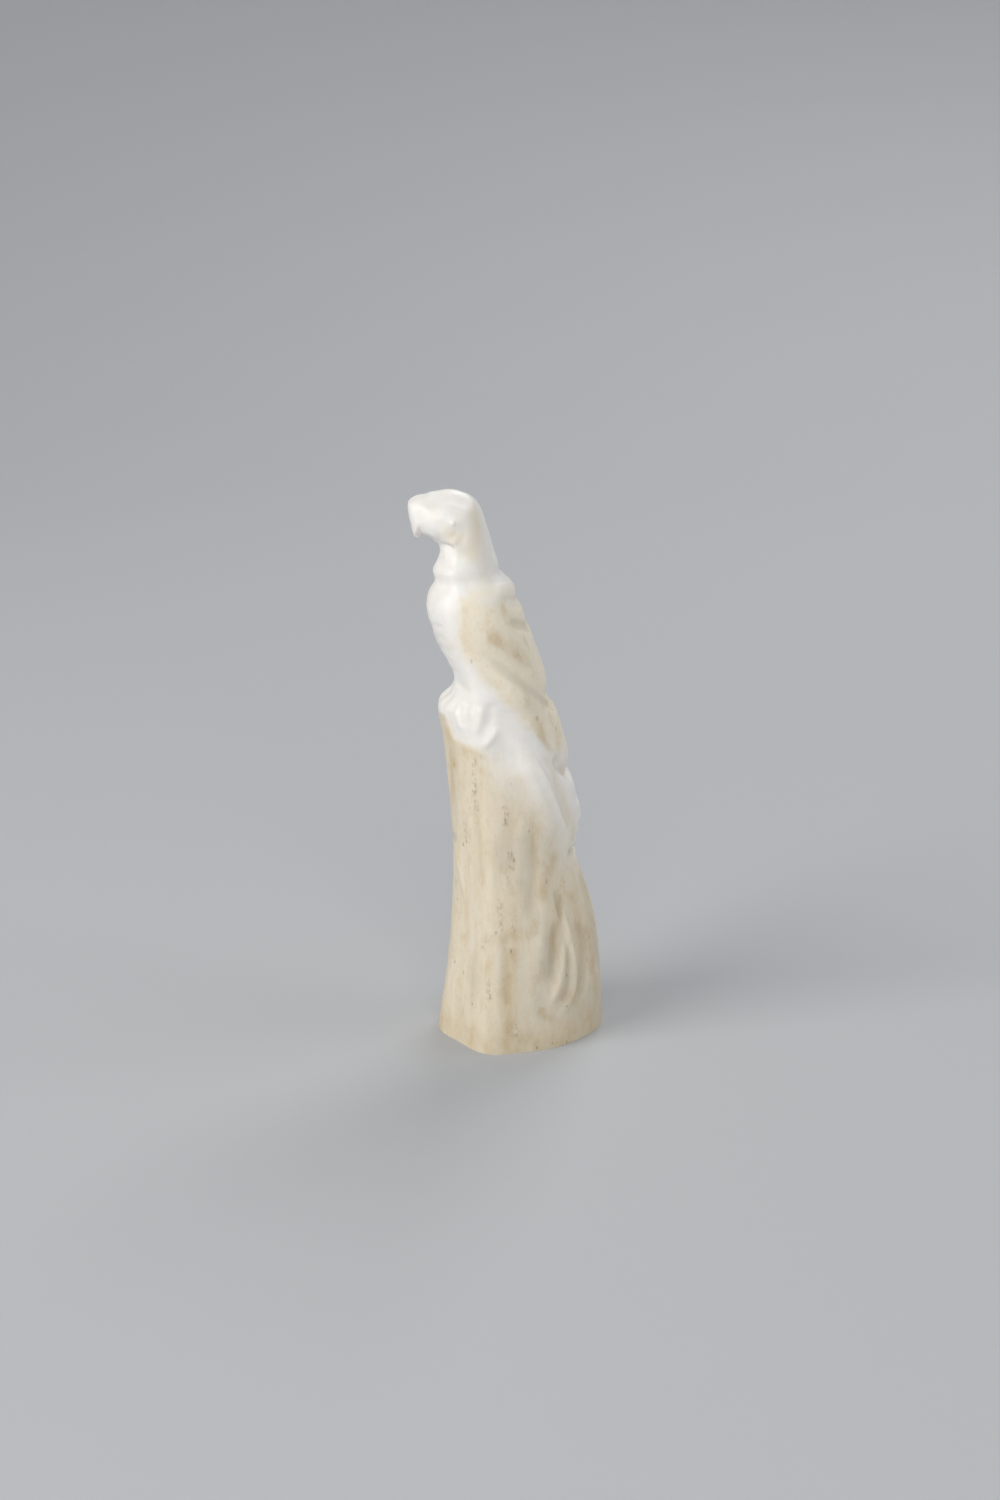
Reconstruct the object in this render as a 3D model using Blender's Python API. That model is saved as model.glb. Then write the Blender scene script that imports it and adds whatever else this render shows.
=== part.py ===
"""An eagle perched on a stump, carved in one piece from the tine of an antler.

The bird faces -X and its tail hangs down the +X side. +Z is up, and the origin is
the middle of the sawn base. The near side is -Y, and the far side mirrors its carving.
"""

import math

import bmesh
import bpy
import numpy as np
from mathutils import Vector
from mathutils.bvhtree import BVHTree

MM = 0.001
HEIGHT = 94.7 * MM  # from the sawn base to the crown
DRAWN_HEIGHT = 99.7  # the same height in the units that the pose and the carving are drawn in
UNIT = HEIGHT / DRAWN_HEIGHT

PLAIN_STEP = 2.9 * MM  # the most that two rings of the mesh are apart on the plain stump
CARVED_STEP = 1.35 * MM  # and above it, where the carving is
CARVED_FROM = 30.0  # in drawn units
RING_POINTS = 53
SMOOTHINGS = 1  # passes that take the mesh's own steps out of the strokes
SMOOTHING = 0.5  # how far a pass moves each point to the middle of its neighbours
SQUARENESS = 2.2  # 2 gives oval sections, and more gives fuller ones

# The sections that the carving is lofted through, in drawn units. Each runs from a point of
# the front line to a point of the back line: front x and z, back x and z, and then half of
# its depth across the bird.
STUMP = [
    (-15.35, 0.0, 14.75, 0.0, 12.2),
    (-14.35, 8.4, 14.4, 8.4, 12.0),
    (-13.2, 19.0, 13.55, 19.0, 11.7),
    (-12.5, 27.4, 11.4, 27.4, 11.5),
    (-12.45, 34.7, 8.9, 34.7, 11.2),
    (-12.9, 42.1, 8.3, 42.1, 10.8),
    (-13.5, 49.5, 7.8, 49.5, 10.4),
    (-14.4, 56.8, 5.9, 56.8, 9.9),
    (-15.1, 60.5, 4.9, 60.5, 9.6),
    (-14.8, 62.0, 4.4, 62.0, 9.5),
    (-13.1, 63.3, 4.1, 63.3, 9.4),
]
BODY = [
    (-12.4, 64.6, 4.0, 64.6, 9.3),
    (-12.2, 65.9, 3.7, 65.9, 9.2),
    (-12.4, 67.4, 3.1, 67.4, 9.1),
    (-13.7, 70.0, 2.1, 70.0, 9.0),
    (-15.3, 73.7, 0.7, 73.7, 8.9),
    (-16.7, 77.9, -0.5, 77.9, 8.5),
    (-16.95, 80.0, -1.3, 80.0, 8.1),
    (-16.4, 81.9, -2.0, 82.0, 7.3),
    (-15.3, 83.9, -3.6, 84.4, 6.2),
]
NECK = [
    (-15.8, 85.3, -4.2, 86.2, 6.0),
    (-15.2, 86.6, -4.9, 88.2, 5.8),
    (-14.6, 87.9, -5.5, 90.5, 5.5),
    (-14.4, 89.0, -6.1, 92.4, 5.4),
    (-14.6, 89.9, -6.7, 94.4, 5.3),
]
HEAD = [
    (-15.1, 90.4, -7.4, 96.3, 5.3),
    (-15.5, 90.8, -8.6, 98.1, 5.3),
    (-15.9, 91.1, -10.5, 99.1, 5.1),
    (-16.3, 91.4, -12.9, 99.7, 4.7),
    (-16.7, 91.6, -15.0, 99.35, 4.0),
    (-17.1, 91.9, -16.9, 99.0, 3.3),
    (-17.4, 92.0, -18.6, 98.6, 2.7),
    (-17.65, 91.7, -20.0, 97.8, 2.3),
    (-17.8, 91.5, -20.0, 95.9, 1.9),
    (-17.95, 91.3, -19.55, 93.8, 1.5),
    (-18.15, 91.1, -19.3, 92.4, 1.1),
    (-18.45, 90.8, -18.95, 91.1, 0.6),
]

# The tine's own ridges and flats: the turn round the stump from its front by the near side,
# in degrees, the height and how far round it spreads.
TINE_RIDGES = [
    (33, -0.9 * MM, 16),
    (73, 2.1 * MM, 15),
    (144, -1.95 * MM, 33),
    (198, 0.8 * MM, 16),
    (236, -0.6 * MM, 18),
    (277, 1.0 * MM, 20),
    (322, -0.5 * MM, 16),
]
RIDGES_FADE_OVER = 52 * MM  # they are cut away further up
RIDGES_LEFT = 0.2  # what is left of them there

# The layers of the plumage. Each one swells out from under the last and ends on the next of
# these edges, which are drawn as x and z on the bird's side and run on round its back.
COLLAR = [(-15.5, 84.0), (-10.9, 84.3), (-7.5, 84.7), (-4.9, 85.2), (-4.0, 85.3)]
SHOULDER = [(-11.0, 82.4), (-6.0, 81.4), (-3.0, 80.2), (-1.0, 79.6)]
COVERTS = [(-11.2, 75.5), (-6.9, 72.8), (-4.0, 71.5), (-1.4, 69.7), (1.2, 67.3), (4.2, 63.0)]
WING = [(-11.1, 74.9), (-7.8, 69.4), (-4.9, 66.3), (-2.0, 62.3), (1.2, 58.0), (4.3, 53.9), (7.2, 49.7)]
TAIL = [(-4.0, 63.6), (-0.6, 58.7), (1.2, 56.3), (2.9, 52.6), (4.3, 48.8), (5.8, 44.8), (8.3, 34.2)]
LAYERS = [
    (COLLAR, SHOULDER, 0.7 * MM),
    (SHOULDER, COVERTS, 0.9 * MM),
    (COVERTS, WING, 1.1 * MM),
    (WING, TAIL, 1.8 * MM),
]
LAYER_FULLNESS = 0.6  # 1 swells each layer as an arc of a sine, and less makes it fuller
LAYER_DROOP = 1.25  # 1 has the fullest place halfway down, and more has it lower
LAYER_FULL_GAP = 7.0  # a layer this deep, in drawn units, has its full height
LAYER_ON_SIDE = 0.35  # its share of that height on the bird's side
LAYER_TO_BACK = 1.5  # 1 brings the rest in evenly towards the back, and more brings it in later
WINGS_START = -11.5
WINGS_RISE = 3.0  # how far behind their start the wings stand clear of the breast

# Each stroke of the carving: how deep it cuts, how wide it is on its upper or rear side and
# on its lower or front side, and its way over the near side, in drawn units, walked from the
# front and the top to the back and the foot. A stroke of minus depth raises a crest.
STROKES = {
    "collar groove": (0.30 * MM, 1.5 * MM, 2.2 * MM,
        [(-15.4, 0, 84.0), (-14.0, -4.5, 84.1), (-10.9, -6.1, 84.3), (-7.5, -5.8, 84.7), (-4.0, 0, 85.3)]),
    "jaw": (0.80 * MM, 1.2 * MM, 2.4 * MM,
        [(-14.6, -2.5, 90.3), (-13.1, -4.6, 90.5), (-11.7, -5.2, 89.8), (-10.0, -5.5, 89.4)]),
    "eye socket": (0.60 * MM, 1.8 * MM, 2.2 * MM,
        [(-14.6, -4.4, 94.3), (-12.4, -5.2, 93.4), (-9.8, -5.4, 92.6)]),
    "eye": (-0.70 * MM, 1.5 * MM, 1.5 * MM,
        [(-12.5, -5.2, 94.9), (-12.0, -5.2, 94.8), (-11.5, -5.2, 94.7)]),
    "brow": (-0.40 * MM, 1.6 * MM, 1.6 * MM,
        [(-17.6, -2.3, 97.3), (-15.1, -4.2, 96.9), (-11.7, -4.9, 96.6), (-9.0, -4.2, 95.6)]),
    "wing front": (0.30 * MM, 1.8 * MM, 3.4 * MM,
        [(-10.6, -7.0, 82.4), (-11.0, -8.0, 79.6), (-11.1, -8.4, 76.6), (-10.6, -8.4, 73.4)]),
    "coverts edge": (0.35 * MM, 1.8 * MM, 2.6 * MM,
        [(-8.6, -8.7, 73.5), (-4.0, -8.7, 71.5), (-1.4, -7.9, 69.7), (1.2, -6.4, 67.3), (4.2, 0, 63.0)]),
    "wing edge": (0.45 * MM, 1.9 * MM, 3.2 * MM,
        [(-10.6, -8.4, 73.4), (-7.8, -8.8, 69.4), (-4.9, -9.2, 66.3), (-2.0, -9.1, 62.3),
         (1.2, -8.5, 58.0), (4.3, -7.0, 53.9), (7.6, 0, 49.7)]),
    "cove beside the tail": (0.45 * MM, 3.0 * MM, 5.0 * MM,
        [(-3.4, -9.8, 58.4), (-1.0, -10.0, 54.0), (1.0, -10.0, 48.6), (3.0, -9.7, 43.0), (5.4, -8.6, 37.0)]),
    "tail's front corner": (-1.30 * MM, 2.4 * MM, 4.2 * MM,
        [(-0.6, -9.4, 56.6), (0.8, -9.2, 53.4), (2.4, -8.9, 49.8), (3.9, -8.5, 45.6), (5.5, -7.6, 41.4),
         (7.0, -6.2, 37.6)]),
    "tail's side": (0.60 * MM, 2.4 * MM, 2.0 * MM,
        [(3.4, -7.8, 52.8), (5.2, -7.0, 48.0), (6.8, -5.9, 43.0), (8.2, -4.4, 38.6)]),
    "wing parting": (0.45 * MM, 1.5 * MM, 1.5 * MM,
        [(-1.0, 0, 79.0), (2.2, 0, 70.0), (4.6, 0, 62.0), (6.4, 0, 55.0), (7.6, 0, 50.0)]),
    "tail feather": (0.30 * MM, 1.2 * MM, 1.2 * MM,
        [(8.2, -2.6, 48.6), (9.4, -2.8, 43.0), (9.8, -2.9, 38.0)]),
    "legs parting": (0.60 * MM, 1.8 * MM, 1.8 * MM,
        [(-13.0, 0, 69.0), (-12.2, 0, 66.4), (-13.4, 0, 63.6), (-14.8, 0, 61.0)]),
    "inner toe": (-0.55 * MM, 1.4 * MM, 1.4 * MM,
        [(-12.6, -2.6, 64.6), (-14.2, -2.3, 62.9), (-14.9, -2.1, 60.6)]),
    "front toe": (-0.60 * MM, 1.4 * MM, 1.4 * MM,
        [(-11.6, -5.2, 64.8), (-12.9, -5.5, 63.6), (-13.6, -5.6, 61.8)]),
    "middle toe": (-0.60 * MM, 1.4 * MM, 1.4 * MM,
        [(-10.8, -7.1, 64.1), (-10.7, -8.2, 62.4), (-10.4, -8.4, 60.3), (-10.3, -8.5, 58.6)]),
    "toe groove": (0.45 * MM, 1.1 * MM, 1.1 * MM,
        [(-9.5, -8.4, 64.0), (-9.6, -8.7, 62.2), (-9.6, -8.7, 60.0)]),
    "outer toe": (-0.60 * MM, 1.4 * MM, 1.4 * MM,
        [(-8.9, -8.4, 64.3), (-7.9, -9.2, 62.4), (-8.0, -9.3, 60.2), (-8.7, -9.1, 57.8)]),
    "hind toe": (-0.70 * MM, 1.3 * MM, 1.7 * MM,
        [(-4.4, -9.7, 59.9), (-5.2, -9.8, 57.8), (-6.1, -9.8, 56.4), (-7.6, -9.6, 55.0)]),
    "edge of the perch": (0.40 * MM, 1.4 * MM, 1.8 * MM,
        [(-14.7, 0, 59.6), (-14.2, -3.0, 59.7), (-13.4, -5.6, 59.6), (-12.7, -6.5, 58.6),
         (-11.6, -7.5, 57.3), (-9.8, -8.7, 56.2)]),
}

# The burl low on the near side belongs to the tine, and only this side has it.
BURL = {
    "burl rim": (-0.55 * MM, 1.6 * MM, 1.4 * MM,
        [(8.8, -9.0, 19.6), (9.1, -9.4, 14.6), (8.6, -9.9, 10.6), (7.0, -10.9, 7.6), (5.2, -11.4, 6.6)]),
    "burl hollow": (0.60 * MM, 2.0 * MM, 2.2 * MM,
        [(6.9, -9.8, 23.0), (6.6, -10.5, 17.6), (6.2, -10.9, 12.0)]),
    "burl fold": (-0.40 * MM, 1.5 * MM, 2.0 * MM,
        [(4.4, -10.8, 26.6), (3.6, -11.3, 21.0), (3.4, -11.5, 15.6)]),
    "front scar": (-0.40 * MM, 1.4 * MM, 1.6 * MM,
        [(-12.0, -4.0, 36.8), (-11.4, -5.4, 34.0), (-10.9, -6.4, 30.5), (-10.6, -7.0, 26.9)]),
}
STROKE_STEP = 0.5 * MM  # between the points that a stroke is worked out at
STROKE_TAPER = 0.25  # the share of its length in which a stroke runs in or out
STROKE_START = 0.15  # the share of its depth that it starts and ends with

IVORY = (0.80, 0.71, 0.56, 1.0)
POLISH_ROUGHNESS = 0.38


def smoothstep(value):
    """A rise from 0 to 1 that starts and ends gently."""
    value = np.clip(value, 0.0, 1.0)
    return value * value * (3.0 - 2.0 * value)


def curve_between(start, end, start_slope, end_slope, length, t):
    """The point at a share t of the smooth curve between two points."""
    bend = (2 * t + 1) * (1 - t) ** 2
    return start * bend + end * (1 - bend) + length * t * (1 - t) * ((1 - t) * start_slope - t * end_slope)


def smooth_rows(rows):
    """More rows between the ones given, on curves that pass through them and never overshoot."""
    rows = np.array(rows, float)
    moves = np.diff(rows, axis=0)
    travel = np.maximum(np.hypot(moves[:, 0], moves[:, 1]), np.hypot(moves[:, 2], moves[:, 3]))
    rise = moves / travel[:, None]
    product = rise[:-1] * rise[1:]
    total = np.where(product > 0, rise[:-1] + rise[1:], 1.0)
    inner = np.where(product > 0, 2.0 * product / total, 0.0)
    slope = np.vstack([rise[:1], inner, rise[-1:]])
    found = []
    for i, length in enumerate(travel):
        step = PLAIN_STEP if rows[i][3] < CARVED_FROM else CARVED_STEP
        count = max(1, math.ceil(length * UNIT / step))
        for t in np.arange(count) / count:
            found.append(curve_between(rows[i], rows[i + 1], slope[i], slope[i + 1], length, t))
    return [*found, rows[-1]]


def tine_relief(turn, z):
    """How far the tine's ridges stand out at a turn, in radians, and a drawn height."""
    degrees = math.degrees(turn)
    total = 0.0
    for centre, height, spread in TINE_RIDGES:
        apart = (degrees - centre + 180.0) % 360.0 - 180.0
        total += height * math.exp(-((apart / spread) ** 2))
    return total * (1.0 - (1.0 - RIDGES_LEFT) * smoothstep(z * UNIT / RIDGES_FADE_OVER))


def plumage_relief(turn, x, z):
    """How far the plumage swells out at a turn and a drawn x and z."""
    behind = max(0.0, -math.cos(turn)) ** LAYER_TO_BACK
    share = (LAYER_ON_SIDE + (1.0 - LAYER_ON_SIDE) * behind) * smoothstep((x - WINGS_START) / WINGS_RISE)
    for upper, lower, height in LAYERS:
        top = np.interp(x, *zip(*upper))
        bottom = np.interp(x, *zip(*lower))
        if bottom < z < top:
            down = ((top - z) / (top - bottom)) ** LAYER_DROOP
            swell = math.sin(math.pi * down) ** LAYER_FULLNESS
            return height * share * swell * min(1.0, (top - bottom) / LAYER_FULL_GAP)
    return 0.0


def ring(section):
    """The points of one section, from the front line round by the near side."""
    front_x, front_z, back_x, back_z, depth = section
    middle = Vector(((front_x + back_x) / 2, 0, (front_z + back_z) / 2))
    along = Vector((front_x - back_x, 0, front_z - back_z)) / 2
    across = Vector((0, -depth, 0))
    points = []
    for k in range(RING_POINTS):
        turn = math.tau * k / RING_POINTS
        c = math.copysign(abs(math.cos(turn)) ** (2 / SQUARENESS), math.cos(turn))
        s = math.copysign(abs(math.sin(turn)) ** (2 / SQUARENESS), math.sin(turn))
        outward = along * c + across * s
        point = middle + outward
        relief = tine_relief(turn, point.z) + plumage_relief(turn, point.x, point.z)
        points.append(point * UNIT + outward.normalized() * relief)
    return points


def loft(sections):
    """One closed skin through the sections, capped flat at the base and at the beak's tip."""
    shape = bmesh.new()
    rings = [[shape.verts.new(p) for p in ring(s)] for s in sections]
    for low, high in zip(rings, rings[1:]):
        for k in range(RING_POINTS):
            n = (k + 1) % RING_POINTS
            shape.faces.new((low[k], high[k], high[n], low[n]))
    shape.faces.new(rings[0])
    shape.faces.new(reversed(rings[-1]))
    bmesh.ops.recalc_face_normals(shape, faces=shape.faces)
    return shape


def way_over(skin, points):
    """Close points on the skin along a stroke's way, with the skin's normals there."""
    corners = np.array(points, float) * UNIT
    legs = np.linalg.norm(np.diff(corners, axis=0), axis=1)
    reach = np.concatenate([[0.0], np.cumsum(legs)])
    steps = np.linspace(0.0, reach[-1], max(3, round(reach[-1] / STROKE_STEP)))
    bends = np.gradient(corners, reach, axis=0)
    way = []
    for at in steps:
        i = min(len(legs) - 1, int(np.searchsorted(reach, at, side="right")) - 1)
        t = (at - reach[i]) / legs[i]
        way.append(curve_between(corners[i], corners[i + 1], bends[i], bends[i + 1], legs[i], t))
    hits = [skin.find_nearest(Vector(p)) for p in way]
    return np.array([h[0] for h in hits]), np.array([h[1] for h in hits])


def stroke_depth(places, skin, stroke, side):
    """How deep a stroke cuts at each place, on the near side (1) or mirrored on the far side (-1)."""
    depth, upper_width, lower_width, points = stroke
    way, normals = way_over(skin, [(x, y * side, z) for x, y, z in points])
    apart = places[:, None, :] - way[None, :, :]
    distance = np.linalg.norm(apart, axis=2)
    nearest = distance.argmin(axis=1)
    rows = np.arange(len(places))
    lower = np.cross(np.gradient(way, axis=0), normals) * side
    on_lower = np.einsum("ij,ij->i", apart[rows, nearest], lower[nearest]) > 0
    share = np.clip(distance[rows, nearest] / np.where(on_lower, lower_width, upper_width), 0.0, 1.0)
    run = np.arange(len(way)) / (len(way) - 1)
    run_in = smoothstep(np.minimum(run, 1.0 - run) / STROKE_TAPER)
    open_end = STROKE_START + (1.0 - STROKE_START) * run_in
    return depth * (1.0 - share) ** 2 * (1.0 + share) * open_end[nearest]


def carve(shape, strokes, sides):
    """Move the skin in along its normals under each stroke, and out under each crest."""
    shape.normal_update()
    skin = BVHTree.FromBMesh(shape)
    places = np.array([v.co for v in shape.verts])
    cut = np.zeros(len(places))
    for stroke in strokes.values():
        depths = np.array([stroke_depth(places, skin, stroke, side) for side in sides])
        cut += depths[np.abs(depths).argmax(axis=0), np.arange(len(places))]
    for vertex, depth in zip(shape.verts, cut):
        if vertex.co.z > 0.0:
            vertex.co -= vertex.normal * depth


def smooth(shape):
    """Even out the mesh's steps, with the base kept flat."""
    base = [v for v in shape.verts if v.co.z == 0.0]
    rest = [v for v in shape.verts if v.co.z > 0.0]
    for _ in range(SMOOTHINGS):
        for part, rises in ((base, False), (rest, True)):
            bmesh.ops.smooth_vert(
                shape, verts=part, factor=SMOOTHING, use_axis_x=True, use_axis_y=True, use_axis_z=rises
            )


def antler():
    """Warm ivory with a soft polish."""
    material = bpy.data.materials.new("polished antler")
    material.use_nodes = True
    shader = material.node_tree.nodes["Principled BSDF"]
    shader.inputs["Base Color"].default_value = IVORY
    shader.inputs["Roughness"].default_value = POLISH_ROUGHNESS
    shader.inputs["Metallic"].default_value = 0.0
    material.diffuse_color = IVORY
    return material


def main():
    for old in list(bpy.data.objects):
        bpy.data.objects.remove(old)
    sections = smooth_rows(STUMP + BODY + NECK + HEAD)
    shape = loft(sections)
    carve(shape, STROKES, sides=(1, -1))
    carve(shape, BURL, sides=(1,))
    smooth(shape)
    mesh = bpy.data.meshes.new("eagle_carving")
    shape.to_mesh(mesh)
    shape.free()
    mesh.shade_smooth()
    mesh.set_sharp_from_angle(angle=math.radians(60))
    mesh.materials.append(antler())
    eagle = bpy.data.objects.new("eagle_carving", mesh)
    bpy.context.scene.collection.objects.link(eagle)
    print(len(mesh.polygons), "faces")


main()
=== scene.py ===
# %% [markdown]
# # An eagle carved from a tine of antler
# A carver stood a piece of deer antler on its sawn end and cut an eagle out of the upper half.
# The lower half keeps the antler's own skin, tan and finely pitted, and serves as the stump
# that the bird sits on. The plain solid already has the outline, the folded wings, the toes
# and the tail. This script gives it the finer carving, the skin of the antler and the polish.
#
# The lines below load that solid as a fixed frame. Everything else is in the same place and
# the same metres, so nothing has to be fitted.

import math

import bmesh
import bpy
import numpy as np
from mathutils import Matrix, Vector, noise
from mathutils.bvhtree import BVHTree


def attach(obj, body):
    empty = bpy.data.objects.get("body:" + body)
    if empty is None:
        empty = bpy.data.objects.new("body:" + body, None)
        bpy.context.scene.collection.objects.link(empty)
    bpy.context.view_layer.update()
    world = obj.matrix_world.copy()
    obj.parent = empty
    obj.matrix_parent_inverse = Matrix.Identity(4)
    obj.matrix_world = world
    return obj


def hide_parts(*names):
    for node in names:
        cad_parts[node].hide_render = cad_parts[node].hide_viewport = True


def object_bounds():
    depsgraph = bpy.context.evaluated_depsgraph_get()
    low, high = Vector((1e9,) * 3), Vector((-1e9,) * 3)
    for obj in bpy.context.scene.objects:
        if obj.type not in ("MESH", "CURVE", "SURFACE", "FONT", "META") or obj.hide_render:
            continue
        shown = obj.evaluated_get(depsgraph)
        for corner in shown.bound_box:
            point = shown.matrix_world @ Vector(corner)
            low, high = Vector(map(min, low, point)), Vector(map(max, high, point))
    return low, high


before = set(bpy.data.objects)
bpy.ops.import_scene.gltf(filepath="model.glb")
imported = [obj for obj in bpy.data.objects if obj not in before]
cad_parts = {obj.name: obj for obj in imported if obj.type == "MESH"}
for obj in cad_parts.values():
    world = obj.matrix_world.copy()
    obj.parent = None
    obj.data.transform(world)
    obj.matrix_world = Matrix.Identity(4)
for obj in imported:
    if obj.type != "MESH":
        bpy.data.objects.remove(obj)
cad_low, cad_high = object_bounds()
MM = 0.001
HEIGHT = 94.7  # from the sawn base to the crown, in millimetres
DRAWN_HEIGHT = 99.7  # the same height in the units that the carving is drawn in
DRAWN = HEIGHT / DRAWN_HEIGHT * MM  # one drawn unit
print("the solid measures", *(f"{side / MM:.1f}" for side in cad_high - cad_low), "mm")

# %% [markdown]
# ## A finer mesh on the same form
# The solid comes as loose triangles. Its doubled points are merged first, and the triangles
# are joined in pairs to quads, because a Subdivision Surface makes an even, soft mesh of quads
# and a lumpy one of triangles. The points that crowd at the tip of the beak are merged too, or
# they would leave a star of creases there. The sawn base becomes one flat face with a creased
# rim, so the subdivision leaves it flat and sharp while it rounds everything else.

# %% Merge the triangles into quads
SUBDIVISIONS = 2
NO_DISTANCE = 0.001 * MM  # points closer than this are at one place
ON_BASE = 0.01 * MM  # and points lower than this are on the sawn base
BEAK_TIP = Vector((-18.7, 0.0, 91.0)) * DRAWN
CROWDED_REACH = 2.6 * MM
CROWDED = 0.24 * MM

shape = bmesh.new()
shape.from_mesh(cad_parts["eagle_carving"].data)
bmesh.ops.remove_doubles(shape, verts=shape.verts, dist=NO_DISTANCE)
tip = [v for v in shape.verts if (v.co - BEAK_TIP).length < CROWDED_REACH]
bmesh.ops.remove_doubles(shape, verts=tip, dist=CROWDED)
sawn = [f for f in shape.faces if max(v.co.z for v in f.verts) < ON_BASE]
bmesh.ops.dissolve_faces(shape, faces=sawn, use_verts=False)
bmesh.ops.join_triangles(
    shape, faces=shape.faces, angle_face_threshold=math.pi, angle_shape_threshold=math.pi
)
crease = shape.edges.layers.float.new("crease_edge")
for edge in shape.edges:
    if all(v.co.z < ON_BASE for v in edge.verts):
        edge[crease] = 1.0
quads = sum(len(f.verts) == 4 for f in shape.faces)
print(len(shape.faces), "faces, of which", quads, "are quads")

# %% Subdivide it
coarse = bpy.data.objects.new("coarse", bpy.data.meshes.new("coarse"))
bpy.context.scene.collection.objects.link(coarse)
shape.to_mesh(coarse.data)
shape.free()
subdivide = coarse.modifiers.new("Subdivision", "SUBSURF")
subdivide.levels = subdivide.render_levels = SUBDIVISIONS
shape = bmesh.new()
shape.from_object(coarse, bpy.context.evaluated_depsgraph_get())
bpy.data.objects.remove(coarse)
print(len(shape.faces), "faces after subdivision")

# %% [markdown]
# A file leaves the sides of a beak flat and its hook nearly as thick as the rest, while a solid
# that narrows evenly has a thin one. So round the hook each point moves away from the middle,
# the more the nearer the middle it is, which makes the hook's section squarer. What hangs below
# the middle of the tip is then drawn onto a small ball, so that the tip is blunt.

# %% Thicken the hook of the beak
HOOK = Vector((-18.2, 0.0, 92.2)) * DRAWN
HOOK_REACH = 4.2 * MM
HOOK_HALF_WIDTH = 1.55 * MM
HOOK_FULLNESS = 0.6  # 1 leaves the section as it is, and less makes it squarer
BALL = Vector((-18.35, 0.0, 91.70)) * DRAWN
BALL_RADIUS = 0.72 * MM
BALL_REACH = 2.2 * BALL_RADIUS
HOOK_ROUNDS = 4


def soften(verts, rounds):
    """Draw vertices halfway to the middle of their neighbours, so many times."""
    axes = {"use_axis_x": True, "use_axis_y": True, "use_axis_z": True}
    for _ in range(rounds):
        bmesh.ops.smooth_vert(shape, verts=verts, factor=0.5, **axes)


for vertex in shape.verts:
    apart = (vertex.co - HOOK).length / HOOK_REACH
    across = abs(vertex.co.y) / HOOK_HALF_WIDTH
    if apart < 1.0 and across < 1.0:
        fuller = math.copysign(across**HOOK_FULLNESS * HOOK_HALF_WIDTH, vertex.co.y)
        vertex.co.y += (fuller - vertex.co.y) * min(1.0, 2.0 * (1.0 - apart))
    away = vertex.co - BALL
    if away.length < BALL_REACH:
        hangs = min(1.0, max(0.0, 0.5 - away.z / BALL_RADIUS))
        vertex.co += (away.normalized() * BALL_RADIUS - away) * hangs
hook = [v for v in shape.verts if (v.co - HOOK).length < HOOK_REACH]
soften(hook, HOOK_ROUNDS)
print(len(hook), "vertices round the hook")

# %% [markdown]
# ## A brush that follows the surface
# Carving and staining are both done along lines. A line is a few points in drawn units, mostly
# on the near side and from front to back or from top to foot. A smooth curve through them is
# snapped to the skin, and each vertex learns how near it is: 1 on the line and 0 at the edge of
# the stroke.
# The two sides of a line have widths of their own, so a cut can be steep above and run out
# gently below. The bird is the same on both sides, so most strokes are mirrored.

# %% Make the brush
STEP = 0.3 * MM  # between the points of a line
TAPER = 0.3  # the share of its length in which a stroke runs in or out
SEED_SHIFT = (17.3, 5.1, 9.7)  # gives the noise of each seed a place of its own


def smoothstep(value):
    value = np.clip(value, 0.0, 1.0)
    return value * value * (3.0 - 2.0 * value)


def curve_through(points):
    """Points a step apart on a smooth curve through the given points."""
    corners = np.array(points, float)
    legs = np.linalg.norm(np.diff(corners, axis=0), axis=1)
    reach = np.concatenate([[0.0], np.cumsum(legs)])
    slopes = np.gradient(corners, reach, axis=0)
    at = np.linspace(0.0, reach[-1], max(3, round(reach[-1] / STEP)))
    i = np.clip(np.searchsorted(reach, at, side="right") - 1, 0, len(legs) - 1)
    leg = legs[i][:, None]
    t = (at - reach[i])[:, None] / leg
    bend = (2 * t + 1) * (1 - t) ** 2
    turning = leg * t * (1 - t) * ((1 - t) * slopes[i] - t * slopes[i + 1])
    return corners[i] * bend + corners[i + 1] * (1 - bend) + turning


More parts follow.
